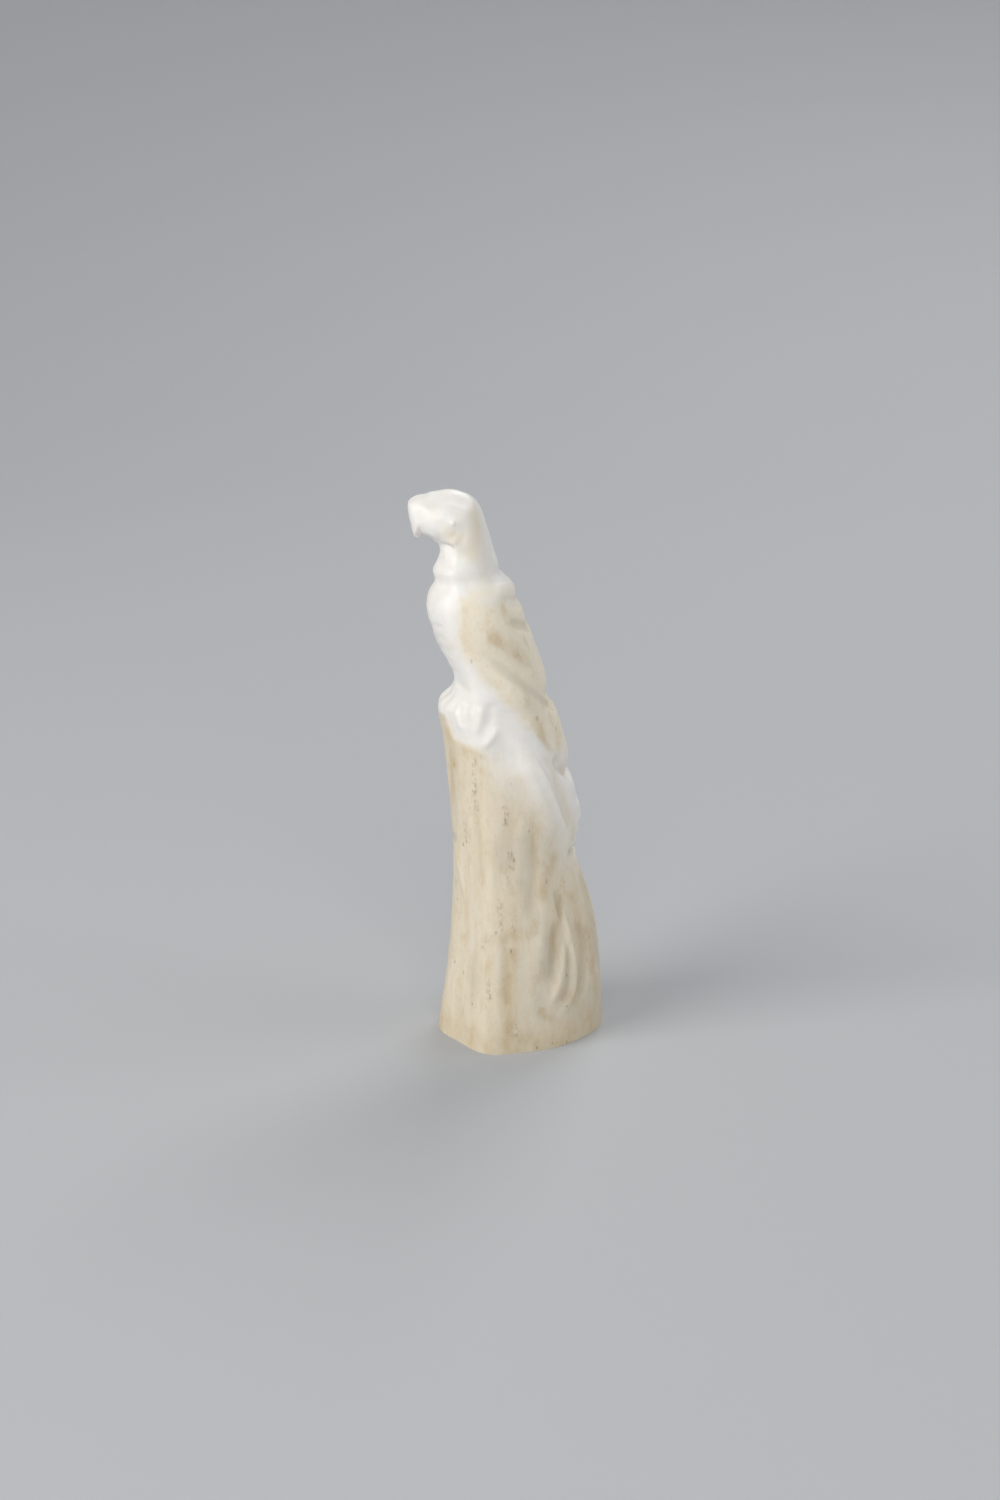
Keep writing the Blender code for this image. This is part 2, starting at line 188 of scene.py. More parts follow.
class Skin:
    """The shape's surface as arrays, for the brush to work on."""

    def __init__(self, shape):
        shape.normal_update()
        self.tree = BVHTree.FromBMesh(shape)
        self.places = np.array([v.co for v in shape.verts])
        self.normals = np.array([v.normal for v in shape.verts])

    def stroke(self, points, upper, lower, side=1, taper=TAPER):
        """How near each vertex is to one stroke: 1 on its line, 0 out of its reach."""
        line = curve_through([(x * DRAWN, y * DRAWN * side, z * DRAWN) for x, y, z in points])
        hits = [self.tree.find_nearest(Vector(p)) for p in line]
        line = np.array([h[0] for h in hits])
        normals = np.array([h[1] for h in hits])
        wide = max(upper, lower) * MM
        within = (self.places > line.min(0) - wide) & (self.places < line.max(0) + wide)
        near = np.flatnonzero(within.all(axis=1))
        apart = self.places[near][:, None, :] - line[None, :, :]
        distance = np.linalg.norm(apart, axis=2)
        nearest = distance.argmin(axis=1)
        rows = np.arange(len(near))
        below = np.cross(np.gradient(line, axis=0), normals) * side
        is_below = np.einsum("ij,ij->i", apart[rows, nearest], below[nearest]) > 0
        width = np.where(is_below, lower, upper) * MM
        closeness = 1.0 - np.clip(distance[rows, nearest] / width, 0.0, 1.0)
        if taper:
            run = nearest / (len(line) - 1)
            closeness *= smoothstep(np.minimum(run, 1.0 - run) / taper)
        result = np.zeros(len(self.places))
        result[near] = closeness
        return result

    def both(self, points, upper, lower, sides=(1, -1), taper=TAPER):
        """The stroke on each side. Where it meets the middle plane it runs on to the other side."""
        if len(sides) == 1 or points[0][1] and points[-1][1]:
            return np.max([self.stroke(points, upper, lower, s, taper) for s in sides], axis=0)
        other = [(x, -y, z) for x, y, z in reversed(points)]
        if points[-1][1]:
            return self.stroke(other[:-1] + points, upper, lower, taper=taper / 2)
        is_loop = not points[0][1]
        return self.stroke(points + other[1:], upper, lower, taper=0 if is_loop else taper / 2)


def crisp(closeness):
    """The profile of a cut with a sharp bottom, or of a crest with a sharp edge."""
    return closeness**2 * (2.0 - closeness)


def spread(places, size, seed, stretch=(1.0, 1.0, 1.0)):
    """Smooth noise from -1 to 1 at each place, with lumps of a size in millimetres."""
    shift = Vector([seed * step for step in SEED_SHIFT])
    scaled = places / (np.array(stretch) * size * MM)
    return np.array([noise.noise(Vector(p) + shift) for p in scaled])


skin = Skin(shape)
print(len(skin.places), "vertices to carve")

# %% [markdown]
# ## The finer carving
# The solid has each form as a soft swelling. On the real carving a file and a knife then drew
# the lines into them: the jaw, the nicks that stand for breast feathers, the ends of the
# wings' layers and the grooves between the toes. They are real geometry here, so that they
# catch the light from every side. A depth above 0 cuts in and one below 0 leaves a crest.
# Lines that a knife drew are crisp, and forms that a file rounded are soft.

# %% Cut the fine lines
# Each has its depth and its widths above and below the line, or behind and before it, in
# millimetres, and then its line in drawn units.
CRISP = {
    "jaw": (0.32, 0.5, 1.0, [
        (-14.6, -1.4, 90.3), (-13.3, -3.2, 90.6), (-12.2, -4.6, 90.5), (-11.0, -5.4, 90.2)]),
    "shoulder's end": (0.26, 0.7, 1.3, [(-4.8, -6.0, 81.8), (-2.6, -3.7, 81.3), (-1.3, 0, 80.5)]),
    "breast 1": (0.10, 0.6, 1.4, [(-14.2, -5.6, 80.9), (-15.6, -3.6, 80.6), (-16.7, 0, 79.9)]),
    "breast 2": (0.14, 0.6, 1.3, [
        (-16.2, 0, 75.8), (-15.3, -3.8, 76.6), (-14.2, -6.2, 76.7), (-12.8, -7.4, 75.6)]),
    "breast 3": (0.11, 0.5, 1.2, [
        (-15.5, 0, 73.9), (-14.6, -3.8, 74.6), (-13.6, -6.2, 74.6), (-12.3, -7.3, 73.7)]),
    "breast 4": (0.14, 0.5, 1.2, [
        (-14.6, 0, 71.9), (-13.8, -3.8, 72.5), (-12.8, -6.2, 72.5), (-11.5, -7.4, 71.6)]),
    "breast 5": (0.11, 0.5, 1.2, [
        (-13.6, 0, 69.9), (-12.9, -3.7, 70.4), (-12.0, -6.2, 70.5), (-10.6, -7.6, 69.7)]),
    "breast 6": (0.10, 0.5, 1.2, [
        (-12.5, 0, 67.9), (-12.2, -3.6, 68.4), (-11.3, -6.2, 68.6), (-9.8, -7.8, 68.0)]),
    "wing front": (0.12, 0.6, 1.3, [
        (-11.0, -7.4, 81.8), (-11.2, -8.2, 79.3), (-11.0, -8.5, 76.7), (-10.7, -8.5, 74.1),
        (-9.9, -8.7, 71.5)]),
    "wing tip": (0.34, 0.8, 1.4, [
        (0.6, -8.2, 60.0), (3.0, -7.2, 57.4), (5.0, -5.8, 54.6), (6.8, -3.4, 51.0),
        (7.8, 0, 48.1)]),
    "tail tip": (1.20, 0.7, 1.4, [(8.0, -4.2, 35.5), (8.6, -2.5, 34.8), (8.9, 0, 34.4)]),
    "tail edge": (-0.78, 0.6, 1.5, [
        (1.2, -8.8, 55.4), (2.4, -8.9, 53.2), (4.0, -8.6, 49.8), (5.2, -7.6, 46.4),
        (6.7, -6.4, 42.3), (8.0, -5.0, 38.5), (8.6, -4.0, 36.4)]),
    "tail feather": (0.14, 0.7, 0.7, [
        (8.0, -1.6, 47.6), (9.2, -1.5, 43.5), (9.8, -1.4, 39.0), (9.6, -1.2, 36.2)]),
    "edge of the foot": (0.18, 0.6, 1.2, [
        (-12.9, -5.4, 62.8), (-12.9, -6.1, 61.4), (-12.7, -5.9, 59.6), (-12.0, -6.4, 57.7),
        (-11.0, -7.5, 56.4)]),
    "hind toe": (-0.50, 0.6, 0.9, [
        (-4.2, -9.6, 60.3), (-5.1, -10.2, 58.3), (-6.3, -10.4, 56.8), (-7.7, -10.1, 55.4)]),
    "front toe groove": (0.06, 0.7, 0.7, [
        (-12.3, -3.9, 64.6), (-13.9, -3.9, 63.4), (-14.6, -3.8, 61.8), (-14.6, -3.8, 60.4)]),
}
SOFT = {
    "throat": (-0.30, 2.2, 2.6, [
        (-14.4, -2.5, 89.6), (-13.1, -4.2, 89.2), (-11.7, -5.0, 88.8), (-10.0, -5.4, 88.6)]),
    "lower cheek": (-0.26, 1.2, 1.0, [
        (-14.2, -2.2, 91.1), (-13.2, -3.6, 91.5), (-12.0, -4.8, 91.4), (-10.8, -5.4, 91.1)]),
    "cheek": (-0.22, 2.4, 2.4, [(-14.6, -4.4, 94.0), (-12.4, -5.2, 93.2), (-9.8, -5.4, 92.6)]),
    "brow": (0.34, 1.7, 1.7, [
        (-17.6, -2.3, 97.3), (-15.1, -4.2, 96.9), (-11.7, -4.9, 96.6), (-9.0, -4.2, 95.6)]),
    "corner of the mouth": (-0.34, 1.9, 1.9, [
        (-18.4, -1.4, 91.8), (-17.4, -2.0, 92.4), (-16.4, -2.8, 92.6), (-15.2, -3.6, 92.2),
        (-14.2, -4.0, 91.6)]),
    "front corner of the neck": (0.24, 2.4, 2.4, [
        (-11.6, -5.2, 90.2), (-12.0, -5.3, 88.6), (-12.4, -5.4, 86.8), (-12.6, -5.4, 85.4)]),
    "crown's side": (0.42, 2.9, 2.9, [
        (-18.4, -1.8, 97.8), (-16.4, -2.6, 98.5), (-14.6, -2.9, 98.8), (-12.6, -2.9, 98.7),
        (-10.6, -2.9, 98.1), (-8.0, -2.9, 96.4)]),
    "forehead": (0.16, 1.2, 1.2, [(-16.6, -3.2, 97.2), (-16.9, -1.8, 98.2), (-17.1, 0, 98.6)]),
    "eye hollow": (0.14, 1.2, 1.5, [
        (-12.8, -5.2, 92.9), (-12.0, -5.2, 92.5), (-11.0, -5.4, 91.9), (-9.5, -5.2, 91.5)]),
    "shoulder": (-0.22, 1.4, 1.8, [(-5.6, -5.2, 83.0), (-3.6, -3.0, 82.7), (-2.4, 0, 82.2)]),
    "nape": (0.26, 1.6, 1.3, [(-5.8, -3.2, 85.6), (-4.8, -1.8, 85.3), (-4.0, 0, 84.8)]),
    "second layer": (-0.14, 0.8, 1.4, [(-3.8, -6.4, 80.2), (-1.2, -3.6, 79.2), (-0.4, 0, 78.4)]),
    "below the second layer": (0.46, 1.5, 1.6, [
        (-2.9, -6.4, 77.6), (-1.6, -4.9, 77.0), (-0.4, -2.8, 76.0), (0.5, 0, 75.2)]),
    "coverts' end": (0.26, 1.5, 2.2, [
        (-8.6, -9.0, 73.2), (-6.9, -9.1, 72.4), (-4.5, -8.6, 70.6), (-2.0, -8.0, 68.4),
        (1.4, -6.1, 65.2), (4.6, 0, 61.2)]),
    "end of the coverts": (0.38, 1.0, 1.4, [(2.6, -4.6, 63.2), (4.0, -2.4, 61.8), (4.9, 0, 60.9)]),
    "end of the wing": (-0.08, 2.0, 1.0, [
        (2.6, -7.0, 60.0), (5.0, -5.2, 57.0), (7.0, -2.8, 53.2), (8.0, 0, 50.8)]),
    "upper tail": (0.86, 1.5, 1.9, [
        (5.0, -6.0, 53.4), (6.6, -3.9, 50.8), (7.7, -1.8, 49.0), (8.1, 0, 48.4)]),
    "tail's side": (0.55, 1.7, 1.7, [
        (4.6, -7.0, 52.0), (6.6, -6.4, 46.6), (7.7, -5.4, 42.2), (8.7, -4.1, 38.4)]),
    "leg": (0.16, 1.2, 1.6, [
        (-12.2, -3.0, 66.2), (-11.3, -5.6, 66.0), (-9.6, -7.9, 65.6), (-7.8, -9.2, 65.1)]),
    "toe 1": (-0.24, 1.1, 1.1, [
        (-12.0, -6.6, 62.8), (-11.6, -7.8, 61.2), (-11.0, -8.3, 59.6), (-10.4, -8.4, 57.9)]),
    "toe groove 1": (0.22, 0.7, 0.7, [
        (-10.7, -7.0, 63.8), (-10.9, -7.9, 62.4), (-10.6, -8.4, 61.0), (-10.0, -8.9, 59.2)]),
    "toe 2": (-0.16, 0.8, 0.8, [
        (-9.8, -7.6, 64.2), (-10.2, -8.4, 62.6), (-9.9, -9.0, 60.7), (-9.3, -9.3, 58.8)]),
    "toe groove 2": (0.26, 0.7, 0.7, [
        (-9.0, -8.4, 64.2), (-9.4, -9.0, 62.3), (-9.2, -9.3, 60.6), (-8.7, -9.7, 59.0)]),
    "toe 3": (-0.24, 1.0, 1.0, [
        (-8.0, -9.4, 64.4), (-7.3, -9.8, 62.9), (-7.5, -9.9, 61.1), (-8.0, -10.0, 59.4),
        (-9.0, -9.4, 57.7)]),
    "behind the foot": (0.16, 1.2, 1.2, [
        (-6.2, -9.6, 64.6), (-5.6, -9.8, 62.4), (-6.0, -9.9, 60.4), (-6.9, -10.0, 58.8)]),
}
# What runs along the middle, and what belongs to the tine itself, on the near side alone.
SINGLE = {
    "beak's top": (0.36, 2.2, 2.2, [
        (-20.8, 0, 96.9), (-19.6, 0, 97.9), (-18.4, 0, 98.4), (-17.2, 0, 98.9), (-15.6, 0, 99.3)]),
    "lower breast": (-0.28, 2.4, 2.4, [
        (-15.6, 0, 75.4), (-14.9, 0, 73.4), (-14.3, 0, 71.7), (-13.6, 0, 70.2)]),
    "crown": (0.12, 2.4, 2.4, [
        (-17.0, 0, 98.9), (-14.9, 0, 99.3), (-11.9, 0, 99.4), (-8.8, 0, 98.2)]),
    "tail": (-0.36, 2.2, 2.4, [(9.4, 0, 44.2), (9.8, 0, 42.5), (10.0, 0, 38.5)]),
    "front of the stump": (0.20, 3.2, 3.2, [
        (-12.7, 0, 24.0), (-13.3, 0, 18.0), (-14.2, 0, 12.0), (-14.9, 0, 3.0)]),
    "rear of the stump": (0.42, 3.4, 3.4, [
        (9.6, 0, 33.0), (11.6, 0, 26.0), (13.4, 0, 18.0), (14.2, 0, 8.0)]),
    "burl's rim": (-0.70, 1.1, 1.1, [
        (7.0, -8.2, 29.0), (7.4, -8.2, 25.6), (7.9, -8.1, 22.2), (8.5, -8.0, 18.4),
        (9.1, -7.6, 14.2), (9.1, -7.8, 10.6), (8.3, -8.7, 7.8), (6.9, -9.8, 6.5),
        (5.0, -10.8, 6.4)]),
    "burl's groove": (0.44, 0.9, 0.9, [
        (7.6, -8.6, 21.4), (8.1, -8.6, 18.0), (8.3, -8.8, 14.5), (7.9, -9.2, 10.6),
        (6.8, -10.0, 8.5), (5.4, -10.7, 7.8)]),
    "burl's fold": (-0.58, 1.1, 1.2, [
        (7.4, -8.5, 21.0), (7.2, -9.0, 17.5), (6.8, -9.5, 13.8), (6.1, -10.1, 11.0),
        (5.0, -10.7, 8.9), (3.8, -11.2, 8.4)]),
    "burl's top": (0.34, 1.7, 1.7, [
        (5.4, -9.2, 31.0), (6.3, -8.7, 28.2), (7.0, -8.5, 25.6), (8.6, -7.4, 21.0)]),
    "burl's inner hollow": (0.32, 1.4, 1.4, [
        (5.2, -9.8, 26.0), (5.5, -10.0, 22.4), (5.3, -10.2, 18.6), (5.0, -10.4, 14.6),
        (4.4, -10.9, 11.2)]),
    "burl's outer hollow": (0.30, 2.2, 2.2, [
        (9.4, -6.2, 25.0), (10.7, -5.2, 19.4), (11.1, -5.2, 13.8), (10.6, -6.0, 9.3),
        (9.2, -7.6, 5.4)]),
    "mound beside the burl": (-0.26, 2.2, 2.2, [
        (3.2, -11.2, 23.0), (2.8, -11.5, 17.4), (3.0, -11.5, 12.6)]),
    "flute 1": (0.22, 2.0, 2.2, [
        (1.9, -9.8, 43.0), (1.9, -10.4, 36.0), (1.4, -11.4, 29.0), (0.4, -12.0, 22.0)]),
    "flute 2": (-0.20, 1.8, 1.8, [(0.0, -10.4, 46.0), (-0.4, -11.2, 36.0), (-1.2, -11.9, 28.0)]),
    "flute 3": (0.18, 1.8, 1.8, [
        (-7.8, -9.9, 54.0), (-8.1, -9.7, 46.0), (-7.8, -10.2, 36.0), (-7.4, -10.9, 26.0)]),
    "flute 4": (0.20, 1.8, 1.8, [(-3.6, -12.2, 26.0), (-3.2, -12.6, 16.0), (-2.8, -13.1, 6.0)]),
    "flute 5": (-0.18, 1.8, 1.8, [(-5.6, -10.8, 44.0), (-5.6, -11.4, 32.0), (-5.4, -12.3, 20.0)]),
    "flute 6": (0.18, 2.0, 2.0, [(-8.8, -9.6, 22.0), (-9.0, -9.6, 12.0), (-9.2, -9.8, 3.0)]),
    "notch in the front": (0.90, 0.8, 1.4, [
        (-11.6, 3.2, 36.8), (-12.1, 0, 37.0), (-12.1, -2.6, 37.4), (-11.4, -4.6, 38.2)]),
    "strip": (-0.26, 0.8, 1.2, [
        (-12.0, -3.2, 36.4), (-11.5, -4.8, 33.1), (-10.7, -6.2, 29.9), (-10.4, -6.8, 26.0)]),
}
EYE = [(-12.05, -5.3, 94.7), (-12.0, -5.3, 94.7), (-11.95, -5.3, 94.7)]
EYE_HEIGHT = 0.17
EYE_RADIUS = 0.50
EYE_FULLNESS = 1.5  # above 1, the bead is flatter on top and steeper at its edge

cut = np.zeros(len(skin.places))
SETS = ((CRISP, crisp, (1, -1)), (SOFT, smoothstep, (1, -1)), (SINGLE, smoothstep, (1,)))
for strokes, profile, sides in SETS:
    for depth, upper, lower, points in strokes.values():
        cut += depth * MM * profile(skin.both(points, upper, lower, sides))
print(f"the cuts reach {cut.max() / MM:.2f} mm and the crests {-cut.min() / MM:.2f} mm")

# %% [markdown]
# ## Where the antler's skin is left
# The polish follows the carving: the head, the breast, the feet and the hollow beside the tail
# are cut down to white antler, and the wing and the stump keep the tan skin. Which part of the
# surface is skin could be painted in shader nodes, but a line drawn on the bird's side is easier
# to read and to move. So two outlines are drawn over the side view, and each vertex gets a value
# from 0 to 1 that fades over the outline, with a little noise so that the edge isn't ruled.

# %% Draw the outlines of the skin
WING_SKIN = [
    (-10.9, 82.0), (-11.1, 75.0), (-10.4, 72.4), (-9.2, 70.8), (-7.1, 68.4), (-4.9, 65.9),
    (-2.3, 63.2), (0.3, 59.9), (3.8, 55.8), (8.0, 52.0), (14.0, 60.0), (8.0, 76.0), (-1.0, 80.8),
    (-6.0, 81.6)
]
STUMP_SKIN = [
    (-20.0, 60.8), (-13.6, 60.6), (-12.6, 58.2), (-10.8, 57.0), (-9.2, 56.4), (-7.5, 55.2),
    (-5.4, 53.5), (-2.5, 49.8), (1.0, 46.6), (4.2, 43.2), (6.4, 39.4), (8.2, 35.4), (10.4, 33.6),
    (25.0, 33.0), (25.0, -9.0), (-20.0, -9.0)
]
EDGE_WOBBLE = 0.9
WING_EDGE = 3.0  # how far the wing's skin takes to fade out, in drawn units
STUMP_EDGE = 1.8  # and the stump's at its front
EDGE_WIDENS_BY, EDGE_WIDENS_FROM, EDGE_WIDENS_OVER = 9.5, -9.0, 6.0  # towards the hollow


def signed_distance(x, z, outline):
    """How far inside the outline each point is, in drawn units, and below 0 outside it."""
    corners = np.array(outline)
    ends = np.roll(corners, -1, axis=0)
    inside = np.zeros(len(x), bool)
    nearest = np.full(len(x), np.inf)
    for (x0, z0), (x1, z1) in zip(corners, ends):
        leg = np.array([x1 - x0, z1 - z0])
        t = np.clip(((x - x0) * leg[0] + (z - z0) * leg[1]) / (leg @ leg), 0.0, 1.0)
        nearest = np.minimum(nearest, np.hypot(x - x0 - t * leg[0], z - z0 - t * leg[1]))
        if z0 != z1:
            crossing = x0 + (z - z0) / (z1 - z0) * (x1 - x0)
            inside ^= ((z0 > z) != (z1 > z)) & (x < crossing)
    return np.where(inside, nearest, -nearest)


x, _, z = (skin.places / DRAWN).T
wobble = EDGE_WOBBLE * (spread(skin.places, 3.0, 1) + 0.5 * spread(skin.places, 1.2, 2))
wing = smoothstep(0.5 + (signed_distance(x, z, WING_SKIN) + wobble) / WING_EDGE)
widening = smoothstep((x - EDGE_WIDENS_FROM) / EDGE_WIDENS_OVER)
stump_edge = STUMP_EDGE + EDGE_WIDENS_BY * widening
stump = smoothstep(0.5 + (signed_distance(x, z, STUMP_SKIN) + wobble) / stump_edge)
bark = np.maximum(wing, stump)
print(f"{bark.mean():.0%} of the surface keeps the antler's skin")

# %% [markdown]
# ## Shape the skin and the hand finish
# Antler grows in long fibres, so its skin has shallow ridges along its length. They come from
# noise that is stretched upwards, only where the skin is left. The polished parts get a broader
# unevenness, because nothing cut by hand is quite smooth. The rim of the sawn base is chipped.
# Nothing may reach further than the solid does.

# %% Carve and roughen
FIBRE_HEIGHT = 0.05
HAND_HEIGHT = 0.07
CHIP_DEPTH = 0.45
RIM_HEIGHT = 0.9  # drawn units

fibres = spread(skin.places, 1.4, 3, (1, 1, 9)) + 0.6 * spread(skin.places, 0.8, 4, (1, 1, 7))
hand = spread(skin.places, 4.0, 5) + 0.5 * spread(skin.places, 2.0, 6)
chips = np.maximum(0.0, spread(skin.places, 1.6, 7) + 0.2) ** 2
rim = smoothstep(1.0 - z / RIM_HEIGHT)
out = -cut + FIBRE_HEIGHT * MM * fibres * bark + HAND_HEIGHT * MM * hand * (1 - bark)
moved = skin.places + skin.normals * out[:, None]
is_base = skin.places[:, 2] < NO_DISTANCE
radius = np.hypot(skin.places[:, 0], skin.places[:, 1])
inward = -skin.places * [1, 1, 0] / np.maximum(radius, MM)[:, None]
moved += inward * (CHIP_DEPTH * MM * chips * rim)[:, None] * ~is_base[:, None]
moved = np.clip(moved, cad_low, cad_high)
moved[is_base] = skin.places[is_base]
for vertex, place in zip(shape.verts, moved):
    vertex.co = place
print("fibres of", FIBRE_HEIGHT, "mm and chips of", CHIP_DEPTH, "mm")

# %% [markdown]
# A buffing wheel softens all that it reaches: the head most, the other white parts a little,
# and the skin not at all. The eyes are small raised beads, which it went round, so they are
# raised last.

# %% Polish it and raise the eyes
ROUNDS = 3
HEAD_ROUNDS = 7
HEAD_ABOVE = 87.5  # drawn units
HOOK_SPARED = 0.6 * HOOK_REACH  # so near its middle, the hook is spared the head's rounds

white = [v for v, b in zip(shape.verts, bark) if b < 0.5 and v.co.z > ON_BASE]
head = [v for v in white if v.co.z > HEAD_ABOVE * DRAWN
        and (v.co - HOOK).length > HOOK_SPARED]
soften(white, ROUNDS)
soften(head, HEAD_ROUNDS)
shape.normal_update()
eye = smoothstep(EYE_FULLNESS * skin.both(EYE, EYE_RADIUS, EYE_RADIUS, taper=0))
for vertex, raised in zip(shape.verts, eye):
    vertex.co += vertex.normal * (raised * EYE_HEIGHT * MM)
print(len(white), "vertices polished,", len(head), "of them on the head")

# %% [markdown]
# ## Stains, pits, painted shade and painted highlights
# More values are painted on the vertices for the material to read: brown stains, which lie
# in patches along the fibres, with painted shade on the tail's side and in the burl's hollow;
# paler bands, with painted highlights on the shoulder, the back and edge of the wing, the
# coverts' end, the front of the stump and the burl's crests; the places where the pits crowd,
# where the fibres show, and how deep the carving is, for the dirt in its grooves.

# %% Paint them
# Each has its strength, its widths above and below the line in millimetres, its sides (1 is
# the near side and -1 the far one) and its line in drawn units.
STAINS_AND_SHADE = {
    "back of the head": (0.85, 3.6, 2.8, (1, -1), [
        (-8.6, -3.2, 95.4), (-8.2, -4.0, 93.2), (-8.4, -4.8, 91.5), (-9.0, -5.4, 90.0)]),
    "under the eye": (0.75, 2.2, 2.2, (1, -1), [
        (-12.9, -5.2, 92.6), (-11.2, -5.4, 92.0), (-9.2, -5.2, 91.6)]),
    "neck": (0.35, 3.0, 3.0, (1, -1), [(-7.6, -5.0, 90.0), (-6.4, -5.2, 87.4), (-6.0, -5.4, 85.0)]),
    "wing": (0.62, 2.6, 1.4, (1,), [
        (-5.4, -8.8, 75.4), (-3.2, -8.2, 73.6), (-1.4, -7.3, 72.0), (0.4, -6.2, 70.2)]),
    "far wing": (0.80, 2.4, 1.6, (-1,), [
        (-4.4, -8.6, 77.4), (-2.6, -8.0, 74.0), (-1.0, -7.0, 71.6)]),
    "wing front": (0.40, 1.4, 1.4, (1, -1), [
        (-10.4, -7.8, 79.6), (-10.2, -8.3, 76.6), (-9.6, -8.6, 73.6)]),
    "feather": (0.50, 1.3, 1.3, (1,), [(2.2, -7.8, 60.0), (3.3, -7.1, 58.1), (4.4, -6.4, 55.0)]),
    "dot": (2.20, 0.5, 0.5, (1,), [(2.3, -7.3, 60.7), (2.4, -7.3, 60.6), (2.5, -7.3, 60.5)]),
    "under the wing tip": (0.80, 1.2, 1.2, (1, -1), [
        (7.2, -3.0, 50.0), (7.8, -1.4, 49.0), (8.1, 0, 48.4)]),
    # Painted shade: the tail's side is darker because it faces away from the lamps.
    "tail's side": (0.55, 1.8, 1.8, (1, -1), [
        (4.0, -7.2, 53.0), (6.2, -6.6, 48.0), (7.8, -5.2, 43.0), (8.9, -3.6, 38.0)]),
    "perch's front": (0.70, 1.8, 1.8, (1, -1), [
        (-13.4, -5.2, 57.6), (-12.4, -5.2, 52.4), (-12.5, -3.4, 44.5)]),
    "under the hind toe": (0.45, 1.3, 1.3, (1, -1), [
        (-9.8, -8.6, 55.8), (-8.4, -9.6, 54.8), (-7.0, -10.0, 54.4)]),
    "middle": (0.45, 2.4, 2.4, (1,), [(-1.0, -10.0, 50.0), (1.9, -9.7, 41.8), (1.7, -10.4, 35.7)]),
    "under the tail": (0.75, 1.7, 2.0, (1, -1), [
        (5.8, -7.1, 35.0), (4.5, -9.0, 32.5), (3.6, -10.0, 29.0)]),
    # Painted shade in the burl's hollow.
    "burl's hollow": (0.80, 1.6, 1.6, (1,), [
        (6.6, -8.4, 27.5), (5.9, -9.7, 21.8), (5.6, -10.2, 17.0)]),
    "burl's right": (0.50, 2.2, 2.2, (1,), [
        (9.8, -6.2, 27.0), (10.6, -6.0, 19.0), (10.4, -6.6, 10.0)]),
    "burl's foot": (0.80, 1.3, 1.3, (1,), [
        (3.4, -11.4, 7.4), (4.2, -11.1, 6.4), (5.4, -10.8, 5.6)]),
    "low middle": (0.85, 1.9, 1.9, (1,), [
        (-2.0, -12.4, 19.0), (-2.3, -12.8, 15.7), (-2.5, -13.3, 1.8)]),
    "left of the middle": (0.50, 1.8, 1.8, (1,), [
        (-0.2, -12.0, 22.7), (-3.0, -12.2, 22.0), (-6.1, -11.9, 20.9)]),
    "right rim": (0.70, 2.2, 2.2, (1,), [
        (12.2, -3.4, 20.0), (13.0, -2.3, 11.9), (13.4, -1.9, 5.7), (12.3, -4.0, 0.6)]),
    "back": (0.60, 3.0, 3.0, (1,), [(9.6, 3.0, 30.0), (11.4, 5.0, 18.0), (12.0, 5.0, 4.0)]),
    "foot of the stump": (0.55, 5.0, 5.0, (1, -1), [
        (-14.4, -2.0, 2.0), (-9.0, -9.6, 1.5), (0.0, -12.8, 1.5), (9.0, -9.4, 1.5),
        (13.6, -2.0, 2.0)]),
    "right of the foot": (0.45, 3.0, 3.0, (1,), [
        (8.6, -9.0, 9.0), (11.0, -7.0, 6.0), (12.6, -4.6, 3.0)]),
    "far side": (0.70, 2.4, 2.4, (1,), [
        (-2.6, 10.2, 44.0), (-3.0, 11.6, 30.0), (-2.6, 12.2, 12.0)]),
    "far side's front": (0.60, 2.0, 2.0, (1,), [
        (-9.8, 8.4, 40.0), (-9.6, 9.6, 22.0), (-9.6, 9.8, 6.0)]),
}
